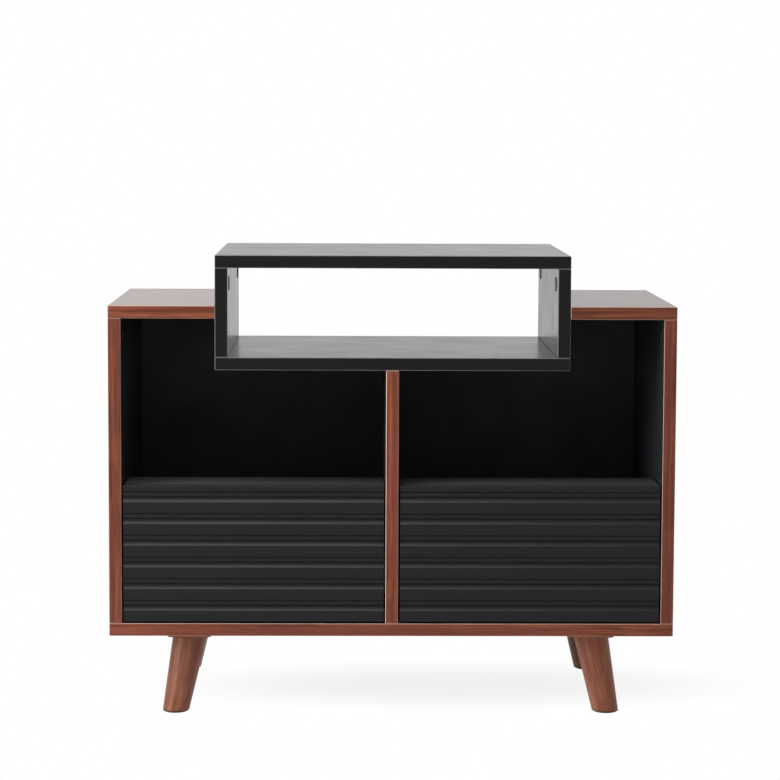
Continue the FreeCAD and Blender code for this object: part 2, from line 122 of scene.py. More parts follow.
# ---- colours, as they look in plain light, each from 0 to 255
walnut_dark = (86, 41, 26)
walnut_mid = (114, 60, 41)
walnut_light = (137, 79, 56)
walnut_plum = (103, 50, 43)
# the pale colour of the broken walnut edges: partly a worn edge band, partly a painted highlight
walnut_edge = (232, 196, 176)
black_board = (25, 25, 26)
black_inside = (48, 51, 55)
# the pale grey of the black boards' broken edges, partly wear and partly a painted highlight, and also
# the colour of dust
black_edge = (112, 112, 114)
raw_chips_light = (196, 168, 130)
raw_chips_dark = (150, 118, 84)
front_black = (28, 28, 30)
# the fronts' level tops, painted lighter as painted light
front_top_painted_light = (50, 50, 52)
# the ledge's grey, painted lighter than the other black boards as a painted reflection of the light in
# the bay
ledge_black_painted_reflection = (65, 65, 67)
back_board_black = (57, 56, 56)
back_board_cloud = (48, 48, 48)
drawer_black = (34, 34, 36)
leg_dark = (99, 56, 41)
leg_mid = (129, 79, 59)
leg_light = (156, 106, 82)
# the foot's rim, painted darker as shade next to the floor
leg_foot_painted_shade = (56, 33, 27)
felt_dark = (34, 31, 31)
felt_light = (60, 56, 55)
beech_light = (214, 184, 140)
beech_dark = (190, 154, 108)
zinc_light = (206, 207, 212)
zinc_dark = (170, 171, 177)
black_zinc_light = (74, 75, 78)
black_zinc_dark = (56, 57, 60)
cover_black = (24, 24, 25)


def linear(colour):
    """A colour from 0 to 255 as the light values that a shader takes."""
    values = []
    for level in colour:
        level = level / 255
        values.append(level / 12.92 if level <= 0.04045 else ((level + 0.055) / 1.055) ** 2.4)
    return (*values, 1.0)


# ---- modelling tools
def new_piece(name, add_primitive, **settings):
    """Add one primitive with nothing else selected."""
    bpy.ops.object.select_all(action="DESELECT")
    add_primitive(**settings)
    piece = bpy.context.active_object
    piece.name = name
    piece.data.name = name
    return piece


def block_piece(name, low, high):
    """A cube stretched between two corners, in place and ready to be shaped."""
    low, high = Vector(low), Vector(high)
    piece = new_piece(name, bpy.ops.mesh.primitive_cube_add, size=1.0, location=(low + high) / 2)
    piece.scale = high - low
    settle(piece)
    return piece


def hold(*pieces):
    """Select just these pieces, and make the first one active."""
    bpy.ops.object.select_all(action="DESELECT")
    for piece in pieces:
        piece.select_set(True)
    bpy.context.view_layer.objects.active = pieces[0]


def settle(piece):
    """Put a piece's place, turn and size into its mesh."""
    hold(piece)
    bpy.ops.object.transform_apply(location=True, rotation=True, scale=True)


def open_piece(piece):
    """Start to edit a piece's mesh."""
    hold(piece)
    bpy.ops.object.mode_set(mode="EDIT")


def close_piece():
    """Turn all faces of the open piece outwards, and stop editing it."""
    bpy.ops.mesh.select_all(action="SELECT")
    bpy.ops.mesh.normals_make_consistent(inside=False)
    bpy.ops.object.mode_set(mode="OBJECT")


def pick(piece, kind, wanted):
    """In edit mode, select just the vertices, edges or faces whose corners all pass a test."""
    bpy.ops.mesh.select_mode(type=kind)
    bpy.ops.mesh.select_all(action="DESELECT")
    shape = bmesh.from_edit_mesh(piece.data)
    elements = {"VERT": shape.verts, "EDGE": shape.edges, "FACE": shape.faces}[kind]
    for element in elements:
        corners = [element] if kind == "VERT" else element.verts
        if all(wanted(corner.co) for corner in corners):
            element.select_set(True)
    shape.select_flush_mode()
    bmesh.update_edit_mesh(piece.data)


def pick_upright_edges(piece):
    """In edit mode, select just the edges that run straight up."""
    bpy.ops.mesh.select_mode(type="EDGE")
    bpy.ops.mesh.select_all(action="DESELECT")
    shape = bmesh.from_edit_mesh(piece.data)
    for edge in shape.edges:
        start, end = (corner.co for corner in edge.verts)
        if near(start.x, end.x) and near(start.y, end.y):
            edge.select_set(True)
    bmesh.update_edit_mesh(piece.data)


def near(value, place, reach=1e-5):
    """Whether a value lies at a place, apart from rounding."""
    return abs(value - place) < reach


def smooth(piece, angle=35.0):
    """Shade a piece smooth across all edges flatter than an angle in degrees."""
    hold(piece)
    bpy.ops.object.shade_smooth_by_angle(angle=math.radians(angle))


def copy_piece(piece, name):
    """A copy of a piece, with a mesh of its own."""
    twin = piece.copy()
    twin.data = piece.data.copy()
    twin.name = name
    twin.data.name = name
    bpy.context.scene.collection.objects.link(twin)
    return twin


def set_copies(pattern, spots, name):
    """One piece of copies of a pattern, one for each (place, facing) spot. The pattern is dropped."""
    copies = []
    for number, (place, facing) in enumerate(spots):
        twin = copy_piece(pattern, f"{pattern.name}_{number}")
        twin.rotation_euler = Vector(facing).to_track_quat("Z", "Y").to_euler()
        twin.location = place
        settle(twin)
        copies.append(twin)
    bpy.data.objects.remove(pattern)
    hold(*copies)
    bpy.ops.object.join()
    whole = copies[0]
    whole.name = name
    whole.data.name = name
    return whole


def cut(piece, cutter):
    """Cut one piece's space out of another, and drop the cutter."""
    modifier = piece.modifiers.new("cut", "BOOLEAN")
    modifier.operation = "DIFFERENCE"
    modifier.solver = "EXACT"
    modifier.object = cutter
    hold(piece)
    bpy.ops.object.modifier_apply(modifier=modifier.name)
    bpy.data.objects.remove(cutter)


def dress(piece, body, slot, finish, *replaced):
    """Give a finished piece its material and its body, and hide the CAD nodes that it stands for."""
    piece.data.materials.clear()
    piece.data.materials.append(finish)
    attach(piece, body)
    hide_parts(*replaced)


def solids_of(node):
    """The lowest and highest corner of every separate solid in a CAD node."""
    mesh = cad_nodes[node].data
    home = {}
    group = {}

    def root(key):
        while group[key] != key:
            key = group[key]
        return key

    for vertex in mesh.vertices:
        key = tuple(round(value, 6) for value in vertex.co)
        home[vertex.index] = key
        group.setdefault(key, key)
    for polygon in mesh.polygons:
        keys = [root(home[index]) for index in polygon.vertices]
        for key in keys[1:]:
            group[root(key)] = root(keys[0])
    boxes = {}
    for key in group:
        low, high = boxes.setdefault(root(key), (Vector(key), Vector(key)))
        for axis in range(3):
            low[axis] = min(low[axis], key[axis])
            high[axis] = max(high[axis], key[axis])
    return sorted(boxes.values(), key=lambda pair: tuple(pair[0]))


# ---- shader tools
def put(tree, kind, inputs=None, **settings):
    """Add a shader node. Inputs that are sockets are linked, and the others are set."""
    node = tree.nodes.new("ShaderNode" + kind)
    for setting, value in settings.items():
        setattr(node, setting, value)
    for socket, value in (inputs or {}).items():
        if isinstance(value, bpy.types.NodeSocket):
            tree.links.new(value, node.inputs[socket])
        else:
            node.inputs[socket].default_value = value
    return node


def calc(tree, operation, first, second=0.0, clamp=False):
    """One step of arithmetic."""
    return put(tree, "Math", {0: first, 1: second}, operation=operation, use_clamp=clamp).outputs[0]


def times(tree, first, second):
    """One value times another."""
    return calc(tree, "MULTIPLY", first, second)


def rising(tree, value, factor, start):
    """A value times a factor, counted up from a start."""
    return calc(tree, "ADD", times(tree, value, factor), start)


def above(tree, value, limit):
    """1 where a value is above a limit, and 0 elsewhere."""
    return calc(tree, "GREATER_THAN", value, limit)


def below(tree, value, limit):
    """1 where a value is below a limit, and 0 elsewhere."""
    return calc(tree, "LESS_THAN", value, limit)


def blend(tree, amount, first, second, share=1.0):
    """Mix two colours by an amount, or by a share of that amount."""
    if share != 1.0:
        amount = times(tree, amount, share)
    return put(tree, "Mix", {0: amount, 6: first, 7: second}, data_type="RGBA").outputs[2]


def blend_places(tree, amount, first, second):
    """Mix two sets of coordinates by an amount."""
    return put(tree, "Mix", {0: amount, 4: first, 5: second}, data_type="VECTOR").outputs[1]


def stretch(tree, vector, scales):
    """Coordinates times a scale for each axis, or colours times one for each channel."""
    return put(tree, "VectorMath", {0: vector, 1: scales}, operation="MULTIPLY").outputs[0]


def noise(tree, vector, detail=2.0, roughness=0.5, scale=1.0):
    """Soft noise around 0.5."""
    inputs = {"Vector": vector, "Scale": scale, "Detail": detail, "Roughness": roughness}
    return put(tree, "TexNoise", inputs).outputs[0]


def ramp(tree, value, low, high):
    """A value's share of the way from low to high, kept from 0 to 1."""
    inputs = {"Value": value, "From Min": low, "From Max": high}
    return put(tree, "MapRange", inputs, interpolation_type="SMOOTHSTEP").outputs[0]


def between(tree, value, low, high):
    """1 where a value lies between two limits, and 0 elsewhere."""
    return times(tree, above(tree, value, low), below(tree, value, high))


def painted_light_and_shade(tree, colour, tones):
    """A colour painted lighter or darker, as painted light and shade, by the tone of each (mask, tone)
    pair, where its mask is 1.
    """
    tone = 1.0
    for mask, there in tones:
        tone = calc(tree, "ADD", tone, times(tree, mask, there - 1))
    return stretch(tree, colour, put(tree, "CombineXYZ", {"X": tone, "Y": tone, "Z": tone}).outputs[0])


def turned_places(tree, places, turn):
    """Coordinates turned by an angle around each axis."""
    return put(tree, "Mapping", {"Vector": places, "Rotation": turn}).outputs[0]


def new_group(name, inputs, outputs):
    """A shader group with named sockets. Returns it, its tree's input sockets and its end node."""
    group = bpy.data.node_groups.new(name, "ShaderNodeTree")
    for label, kind, value in inputs:
        socket = group.interface.new_socket(name=label, in_out="INPUT", socket_type="NodeSocket" + kind)
        socket.default_value = value
    for label, kind in outputs:
        group.interface.new_socket(name=label, in_out="OUTPUT", socket_type="NodeSocket" + kind)
    return group, group.nodes.new("NodeGroupInput").outputs, group.nodes.new("NodeGroupOutput")


def fill_group(group, end, results):
    """Link a group's results to its end node, by their sockets' names."""
    for label, result in results.items():
        group.links.new(result, end.inputs[label])
    return group


def use_group(tree, group, inputs=None):
    """Add a shader group. Returns its results."""
    return put(tree, "Group", inputs, node_tree=group).outputs


def new_finish(name, metallic=0.0, specular=0.5, coat=0.0, coat_roughness=0.1):
    """A material with one shader. Returns it, its tree, its shader and its Object coordinates."""
    finish = bpy.data.materials.new(name)
    finish.use_nodes = True
    tree = finish.node_tree
    shader = tree.nodes["Principled BSDF"]
    shader.inputs["Metallic"].default_value = metallic
    shader.inputs["Specular IOR Level"].default_value = specular
    shader.inputs["Coat Weight"].default_value = coat
    shader.inputs["Coat Roughness"].default_value = coat_roughness
    places = tree.nodes.new("ShaderNodeTexCoord").outputs["Object"]
    return finish, tree, shader, places


def low_angle_coat(tree, shader, most):
    """A thin coat that shows only where the surface is seen at a low angle. Returns where that is."""
    facing = put(tree, "LayerWeight", {"Blend": 0.5}).outputs["Facing"]
    low = ramp(tree, facing, *low_angle_range)
    tree.links.new(times(tree, low, most), shader.inputs["Coat Weight"])
    return low


def plug(tree, shader, colour, roughness, height, depth):
    """Link what varies over the surface to the shader. The relief is as deep as given."""
    tree.links.new(colour, shader.inputs["Base Color"])
    tree.links.new(roughness, shader.inputs["Roughness"])
    bump = put(tree, "Bump", {"Height": height, "Distance": depth, "Strength": 1.0})
    tree.links.new(bump.outputs[0], shader.inputs["Normal"])


# ---- effects that several finishes share
sway_scale = (9.0, 30.0, 30.0)
grain_sway = 0.008
line_scale = (3.0, 3.2, 3.2)
pore_scale = (16.0, 11.0, 11.0)
pore_range = (0.60, 0.70)
walnut_grain = {"Across": 170.0, "Along": 3.0}
walnut_mid_range = (0.37, 0.51)
walnut_light_range = (0.50, 0.63)
walnut_line_relief = 0.3
plum_scale = (4.0, 60.0, 60.0)
plum_range = (0.52, 0.66)
cloud_scale = 14.0
fine_scale = 900.0
dust_scale = 2200.0
dust_range = (0.72, 0.78)
level_facing = 0.95
slanted_facing = 0.3
low_angle_range = (0.6, 0.9)


def make_wood_grain():
    """Streaks, fine lines and pores that run along the first axis."""
    group, given, end = new_group(
        "wood_grain",
        [("Vector", "Vector", (0, 0, 0)), ("Across", "Float", 150.0), ("Along", "Float", 5.0)],
        [("Streaks", "Float"), ("Lines", "Float"), ("Pores", "Float")],
    )
    wander = noise(group, stretch(group, given["Vector"], sway_scale))
    sway = times(group, calc(group, "SUBTRACT", wander, 0.5), grain_sway)
    sideways = put(group, "CombineXYZ", {"Y": sway, "Z": sway}).outputs[0]
    swayed = put(group, "VectorMath", {0: given["Vector"], 1: sideways}, operation="ADD").outputs[0]
    scales = put(group, "CombineXYZ", {"X": given["Along"], "Y": given["Across"], "Z": given["Across"]})
    broad = stretch(group, swayed, scales.outputs[0])
    pores = noise(group, stretch(group, broad, pore_scale), detail=1.0)
    return fill_group(group, end, {
        "Streaks": noise(group, broad, detail=3.0, roughness=0.55),
        "Lines": noise(group, stretch(group, broad, line_scale), roughness=0.6),
        "Pores": ramp(group, pores, *pore_range),
    })


def mixed_grain(tree, grain, streak_share):
    """A grain's streaks and its fine lines in one value, of which the streaks make a share."""
    lines = times(tree, grain["Lines"], 1 - streak_share)
    return calc(tree, "ADD", times(tree, grain["Streaks"], streak_share), lines)


def make_walnut_print(wood_grain):
    """The walnut pattern of the laminate and the edge bands, with its grain along the first axis."""
    group, given, end = new_group(
        "walnut_print",
        [("Vector", "Vector", (0, 0, 0))],
        [("Color", "Color"), ("Height", "Float")],
    )
    grain = use_group(group, wood_grain, {"Vector": given["Vector"], **walnut_grain})
    mixed = mixed_grain(group, grain, streak_share=0.62)
    colour = blend(group, ramp(group, mixed, *walnut_mid_range), linear(walnut_dark), linear(walnut_mid))
    colour = blend(group, ramp(group, mixed, *walnut_light_range), colour, linear(walnut_light))
    plum = noise(group, stretch(group, given["Vector"], plum_scale), detail=1.0)
    colour = blend(group, ramp(group, plum, *plum_range), colour, linear(walnut_plum), share=0.6)
    colour = blend(group, grain["Pores"], colour, linear(walnut_dark), share=0.35)
    height = calc(group, "SUBTRACT", times(group, grain["Lines"], walnut_line_relief), grain["Pores"])
    return fill_group(group, end, {"Color": colour, "Height": height})


def make_broken_edges():
    """Masks of the boards' chamfers, of those that look up or to the left, and of level tops."""
    group, _, end = new_group("broken_edges", [], [
        ("Mask", "Float"), ("Upper", "Float"), ("Left", "Float"), ("Top", "Float")])
    facing = group.nodes.new("ShaderNodeTexCoord").outputs["Normal"]
    parts = put(group, "SeparateXYZ", {0: facing}).outputs
    sizes = [calc(group, "ABSOLUTE", part) for part in parts]
    largest = calc(group, "MAXIMUM", calc(group, "MAXIMUM", sizes[0], sizes[1]), sizes[2])
    broken = below(group, largest, level_facing)
    return fill_group(group, end, {
        "Mask": broken,
        "Upper": times(group, broken, above(group, parts["Z"], slanted_facing)),
        "Left": times(group, broken, below(group, parts["X"], -slanted_facing)),
        "Top": above(group, parts["Z"], level_facing),
    })


def make_satin_skin():
    """The faint unevenness of lacquer and laminate: a fine texture, soft clouds and dust."""
    group, given, end = new_group(
        "satin_skin",
        [("Vector", "Vector", (0, 0, 0))],
        [("Height", "Float"), ("Clouds", "Float"), ("Dust", "Float")],
    )
    dust = noise(group, given["Vector"], detail=1.0, scale=dust_scale)
    return fill_group(group, end, {
        "Height": noise(group, given["Vector"], roughness=0.6, scale=fine_scale),
        "Clouds": noise(group, given["Vector"], detail=3.0, roughness=0.55, scale=cloud_scale),
        "Dust": ramp(group, dust, *dust_range),
    })


wood_grain = make_wood_grain()
walnut_print = make_walnut_print(wood_grain)
broken_edges = make_broken_edges()
satin_skin = make_satin_skin()

grain_along_x = (0.0, 0.0, 0.0)
grain_along_y = (0.0, 0.0, -math.pi / 2)
grain_along_z = (0.0, math.pi / 2, 0.0)

# ---- finishes
# How much of the pale edge colour the boards' edges show, each kind of edge for itself: a little on all
# edges as wear, and more on the front edges that face the lamps, as a painted highlight.
edge_rub_and_highlight = 0.28
upper_edge_highlight = 0.42
divider_left_highlight = 0.8
right_side_left_highlight = 0.42
# Painted shade: how much darker the lying boards' colour is painted where they are seen at a low angle,
# and the right top board more.
low_angle_painted_shade = 0.62
low_angle_painted_shade_right = 0.74
# Painted light and shade: how much lighter or darker some bands and legs are painted, next to the
# others, where the lamps light them more or less.
divider_band_painted_light = 1.17
side_band_painted_shade = 0.86
right_top_band_painted_shade = 0.74
front_right_leg_painted_light = 1.17
back_right_leg_painted_shade = 0.8
# The stained wood's grain, the shift that gives each leg its own, and the height of the painted shade at
# the foot's rim.
stain_grain = {"Across": 95.0, "Along": 9.0}
stain_mid_range = (0.28, 0.54)
stain_light_range = (0.48, 0.74)
stain_relief = 0.4
leg_grain_shifts = {"X": 0.31, "Y": 0.17}
foot_painted_shade_range = (0.002, 0.0045)
# How fine the patterns of the other materials are, and how strong.
board_coat_roughness = 0.12
print_relief = 0.4
chip_scale = 420.0
chip_range = (0.35, 0.65)
chip_dullness = 0.5
wear_range = (0.15, 0.6)
press_cloud_range = (0.3, 0.8)
weave_scale = 2600.0
weave_relief = 0.5
even_range = (0.3, 0.7)
felt_scale = (1800.0, 1800.0, 900.0)
beech_grain = {"Across": 400.0, "Along": 30.0}
runner_marks = (1500.0, 20.0, 1500.0)
screw_marks = (900.0, 900.0, 900.0)
mark_share = 0.6
plating_cloud_scale = 40.0
grit_scale = 1500.0
pebble_scale = 1800.0


def pale_edge_and_highlight_share(tree, edges, spot):
    """How pale a walnut edge is painted: a little on every edge as wear, and most, as a painted
    highlight, on the front's upper edges and its inner left ones.
    """
    front = below(tree, spot["Y"], front_y + front_edge_reach)
    off_centre = calc(tree, "ABSOLUTE", spot["X"])
    on_side = above(tree, off_centre, cabinet_half_width - board)
    side_top = times(tree, on_side, below(tree, spot["Z"], side_top_z))
    upper = calc(tree, "SUBTRACT", edges["Upper"], side_top, clamp=True)
    divider_left = times(tree, edges["Left"], below(tree, off_centre, board))
    right_side_left = times(tree, edges["Left"], above(tree, spot["X"], board))
    share = times(tree, edges["Mask"], edge_rub_and_highlight)
    for edge, highlight in ((upper, upper_edge_highlight), (divider_left, divider_left_highlight),
                      (right_side_left, right_side_left_highlight)):
        share = calc(tree, "ADD", share, times(tree, times(tree, edge, front), highlight - edge_rub_and_highlight))
    return share


def walnut_board(name, turn, specular=0.25, low_coat=0.0, painted_shade=0.0):
    """Walnut laminate outside, black inside the bays and raw chips on the rear edge. The outside can be
    painted darker, as painted shade, where it is seen at a low angle.
    """
    finish, tree, shader, places = new_finish(name, specular=specular,
                                              coat_roughness=board_coat_roughness)
    low = low_angle_coat(tree, shader, low_coat)
    walnut = use_group(tree, walnut_print, {"Vector": turned_places(tree, places, turn)})
    skin = use_group(tree, satin_skin, {"Vector": places})
    edges = use_group(tree, broken_edges)
    spot = put(tree, "SeparateXYZ", {0: places}).outputs
    inner_x = cabinet_half_width - board + black_face_reach
    in_width = between(tree, spot["X"], -inner_x, inner_x)
    in_height = between(tree, spot["Z"], bay_floor_z - black_face_reach, side_top_z + black_face_reach)
    inside = times(tree, in_width, in_height)
    outside = calc(tree, "SUBTRACT", 1.0, inside)
    rear = above(tree, spot["Y"], carcass_back_y - raw_edge_reach)
    colour = blend(tree, pale_edge_and_highlight_share(tree, edges, spot), walnut["Color"], linear(walnut_edge))
    black = blend(tree, edges["Mask"], linear(black_inside), linear(black_edge), share=0.5)
    colour = blend(tree, inside, colour, black)
    chips = noise(tree, places, roughness=0.6, scale=chip_scale)
    chips = blend(tree, ramp(tree, chips, *chip_range), linear(raw_chips_dark), linear(raw_chips_light))
    colour = blend(tree, rear, colour, chips)
    # painted shade: the outside darkened towards black where it is seen at a low angle
    colour = blend(tree, times(tree, low, outside), colour, (0, 0, 0, 1), share=painted_shade)
    gloss = rising(tree, skin["Clouds"], factor=0.06, start=0.22)
    gloss = calc(tree, "ADD", gloss, times(tree, rear, chip_dullness), clamp=True)
    height = calc(tree, "ADD", times(tree, walnut["Height"], print_relief), skin["Height"])
    plug(tree, shader, colour, gloss, height, depth=0.00001)
    return finish


def walnut_edge_bands():
    """The glued edge bands: grain along each band, painted light on the divider's band and painted shade
    on the side and right top bands, and a pale line where its edges are broken, partly wear and partly a
    painted highlight.
    """
    finish, tree, shader, places = new_finish("walnut_edge_band", specular=0.2)
    skin = use_group(tree, satin_skin, {"Vector": places})
    edges = use_group(tree, broken_edges)
    spot = put(tree, "SeparateXYZ", {0: places}).outputs
    off_centre = calc(tree, "ABSOLUTE", spot["X"])
    upright = between(tree, spot["Z"], bay_floor_z, side_top_z)
    at_end = times(tree, above(tree, off_centre, cabinet_half_width - end_band_reach),
                   above(tree, spot["Y"], front_y + front_band_reach))
    along = blend_places(tree, at_end, places, turned_places(tree, places, grain_along_y))
    along = blend_places(tree, upright, along, turned_places(tree, places, grain_along_z))
    walnut = use_group(tree, walnut_print, {"Vector": along})
    side_band = times(tree, upright, above(tree, off_centre, cabinet_half_width - 2 * board))
    divider_band = calc(tree, "SUBTRACT", upright, side_band)
    right_top_band = times(tree, above(tree, spot["Z"], side_top_z), above(tree, spot["X"], 0.0))
    # painted light and shade: the divider's band is painted lighter, the side bands and the right top
    # band darker
    colour = painted_light_and_shade(tree, walnut["Color"], (
        (divider_band, divider_band_painted_light),
        (side_band, side_band_painted_shade),
        (right_top_band, right_top_band_painted_shade),
    ))
    colour = blend(tree, pale_edge_and_highlight_share(tree, edges, spot), colour, linear(walnut_edge))
    gloss = rising(tree, skin["Clouds"], factor=0.12, start=0.32)
    plug(tree, shader, colour, gloss, walnut["Height"], depth=0.00003)
    return finish


def black_satin(name, colour, edge_colour, painted_top_colour, base_gloss, specular=0.066, low_coat=0.0):
    """A satin black board or front. Its broken edges are painted paler, partly as wear and partly as a
    painted highlight, and its level top takes its own colour, which on the fronts is lighter as painted
    light.
    """
    finish, tree, shader, places = new_finish(name, specular=specular,
                                              coat_roughness=board_coat_roughness)
    low_angle_coat(tree, shader, low_coat)
    skin = use_group(tree, satin_skin, {"Vector": places})
    edges = use_group(tree, broken_edges)
    # the broken edges painted paler: partly wear, partly a painted highlight
    worn_and_highlit = times(tree, edges["Mask"], ramp(tree, skin["Clouds"], *wear_range))
    shade = blend(tree, edges["Top"], linear(colour), linear(painted_top_colour))
    shade = blend(tree, skin["Clouds"], shade, linear(black_board), share=0.25)
    shade = blend(tree, worn_and_highlit, shade, linear(edge_colour))
    shade = blend(tree, skin["Dust"], shade, linear(black_edge), share=0.12)
    gloss = rising(tree, skin["Clouds"], factor=0.10, start=base_gloss)
    plug(tree, shader, shade, gloss, skin["Height"], depth=0.00001)
    return finish


def back_panel_board():
    """Hardboard, smooth and black, with a faint woven press mark on its rear face."""
    finish, tree, shader, places = new_finish("back_board", specular=0.25)
    skin = use_group(tree, satin_skin, {"Vector": places})
    spot = put(tree, "SeparateXYZ", {0: places}).outputs
    waves = [calc(tree, "SINE", times(tree, spot[axis], weave_scale)) for axis in ("X", "Z")]
    clouds = ramp(tree, skin["Clouds"], *press_cloud_range)
    shade = blend(tree, clouds, linear(back_board_black), linear(back_board_cloud))
    shade = blend(tree, skin["Dust"], shade, linear(black_edge), share=0.2)
    gloss = rising(tree, skin["Clouds"], factor=0.15, start=0.5)
    height = calc(tree, "ADD", times(tree, times(tree, *waves), weave_relief), skin["Height"])
    plug(tree, shader, shade, gloss, height, depth=0.00005)
    return finish


def leaning_places(tree, spot):
    """Coordinates in which every leg stands upright, with each leg in a place of its own."""
    lean = times(tree, spot["Z"], leg_lean / (leg_top_z - foot_spot.z))
    moved = {"Z": spot["Z"]}
    for axis, shift in leg_grain_shifts.items():
        upright = calc(tree, "ADD", calc(tree, "ABSOLUTE", spot[axis]), lean)
        moved[axis] = calc(tree, "ADD", upright, times(tree, calc(tree, "SIGN", spot[axis]), shift))
    return put(tree, "CombineXYZ", moved).outputs[0]


def stained_wood(name, turn, follow_lean):
    """Stained solid wood. On the legs the grain follows the lean, the right legs carry painted light and
    shade, and the foot's rim is darker as painted shade.
    """
    finish, tree, shader, places = new_finish(name, specular=0.16, coat=0.06, coat_roughness=0.25)
    spot = put(tree, "SeparateXYZ", {0: places}).outputs
    along = leaning_places(tree, spot) if follow_lean else places
    grain = use_group(tree, wood_grain, {"Vector": turned_places(tree, along, turn), **stain_grain})
    mixed = mixed_grain(tree, grain, streak_share=0.55)
    colour = blend(tree, ramp(tree, mixed, *stain_mid_range), linear(leg_dark), linear(leg_mid))
    colour = blend(tree, ramp(tree, mixed, *stain_light_range), colour, linear(leg_light))
    colour = blend(tree, grain["Pores"], colour, linear(leg_dark), share=0.25)
    if follow_lean:
        right = above(tree, spot["X"], 0.0)
        front_right = times(tree, right, below(tree, spot["Y"], 0.0))
        back_right = calc(tree, "SUBTRACT", right, front_right)
        # painted light and shade: the front right leg is painted lighter, the back right leg darker
        colour = painted_light_and_shade(tree, colour, (
            (front_right, front_right_leg_painted_light),
            (back_right, back_right_leg_painted_shade),
        ))
        # painted shade: the foot's rim darkened next to the floor
        foot_shade = calc(tree, "SUBTRACT", 1.0, ramp(tree, spot["Z"], *foot_painted_shade_range))
        colour = blend(tree, foot_shade, colour, linear(leg_foot_painted_shade), share=0.8)
    gloss = rising(tree, grain["Lines"], factor=0.16, start=0.36)
    height = calc(tree, "SUBTRACT", times(tree, mixed, stain_relief), grain["Pores"])
    plug(tree, shader, colour, gloss, height, depth=0.00004)
    return finish


def foot_felt():
    """Felt, with loose fibres."""
    finish, tree, shader, places = new_finish("foot_felt", specular=0.1)
    fibres = noise(tree, stretch(tree, places, felt_scale), detail=3.0, roughness=0.7)
    colour = blend(tree, ramp(tree, fibres, *even_range), linear(felt_dark), linear(felt_light))
    rough = rising(tree, fibres, factor=0.1, start=0.88)
    plug(tree, shader, colour, rough, fibres, depth=0.0003)
    return finish


def raw_beech():
    """Plain beech, as dowels are made of."""
    finish, tree, shader, places = new_finish("raw_beech", specular=0.3)
    grain = use_group(tree, wood_grain, {"Vector": places, **beech_grain})
    streaks = ramp(tree, grain["Streaks"], *even_range)
    colour = blend(tree, streaks, linear(beech_dark), linear(beech_light))
    rough = rising(tree, grain["Lines"], factor=0.2, start=0.55)
    plug(tree, shader, colour, rough, grain["Lines"], depth=0.00005)
    return finish


def plated_steel(name, mark_scales, base_gloss, dark=zinc_dark, light=zinc_light):
    """Zinc plating over rolled steel, with fine drawing marks."""
    finish, tree, shader, places = new_finish(name, metallic=1.0)
    marks = noise(tree, stretch(tree, places, mark_scales), roughness=0.6)
    clouds = noise(tree, places, scale=plating_cloud_scale)
    tone = calc(tree, "ADD", times(tree, marks, mark_share), times(tree, clouds, 1 - mark_share))
    colour = blend(tree, ramp(tree, tone, *even_range), linear(dark), linear(light))
    rough = rising(tree, tone, factor=0.2, start=base_gloss)
    plug(tree, shader, colour, rough, marks, depth=0.00001)
    return finish


def cast_alloy():
    """Die-cast zinc alloy, with a gritty skin."""
    finish, tree, shader, places = new_finish("cast_alloy", metallic=1.0)
    grit = noise(tree, places, detail=3.0, roughness=0.7, scale=grit_scale)
    colour = blend(tree, grit, linear(zinc_dark), linear(zinc_light))
    rough = rising(tree, grit, factor=0.2, start=0.45)
    plug(tree, shader, colour, rough, grit, depth=0.00006)
    return finish


def cover_plastic():
    """Matt moulded plastic of the round cam covers."""
    finish, tree, shader, places = new_finish("cover_plastic", specular=0.3)
    pebble = put(tree, "TexVoronoi", {"Vector": places, "Scale": pebble_scale}).outputs[0]
    skin = use_group(tree, satin_skin, {"Vector": places})
    colour = blend(tree, skin["Clouds"], linear(cover_black), linear(black_board), share=0.5)
    rough = rising(tree, skin["Clouds"], factor=0.06, start=0.22)
    plug(tree, shader, colour, rough, pebble, depth=0.00001)
    return finish


upright_walnut = walnut_board("walnut_laminate_upright", grain_along_z, specular=0.14)
lying_walnut = walnut_board("walnut_laminate_lying", grain_along_x, low_coat=0.16,
                            painted_shade=low_angle_painted_shade)
# a darker copy for the right top board, with more painted shade
right_top_walnut_shaded = walnut_board("walnut_laminate_right_top_shaded", grain_along_x,
                                painted_shade=low_angle_painted_shade_right)
band_walnut = walnut_edge_bands()
riser_black = black_satin("black_laminate", black_board, black_edge, black_board,
                          base_gloss=0.18, low_coat=0.03)
front_lacquer = black_satin("black_lacquer", front_black, front_black, front_top_painted_light,
                            base_gloss=0.28, specular=0.13)
# the ledge's lighter grey is a painted reflection
ledge_laminate_painted_reflection = black_satin("ledge_laminate_painted_reflection", ledge_black_painted_reflection, ledge_black_painted_reflection, ledge_black_painted_reflection,
                             base_gloss=0.34, specular=0.2)
drawer_laminate = black_satin("drawer_laminate", drawer_black, black_edge, drawer_black,
                              base_gloss=0.42, specular=0.2)
back_board = back_panel_board()
leg_wood = stained_wood("stained_leg", grain_along_z, follow_lean=True)
block_wood = stained_wood("stained_block", grain_along_x, follow_lean=False)
felt = foot_felt()
beech = raw_beech()
alloy = cast_alloy()
plastic = cover_plastic()
runner_steel = plated_steel("runner_zinc", runner_marks, base_gloss=0.3,
                            dark=black_zinc_dark, light=black_zinc_light)
screw_steel = plated_steel("zinc_steel", screw_marks, base_gloss=0.26)


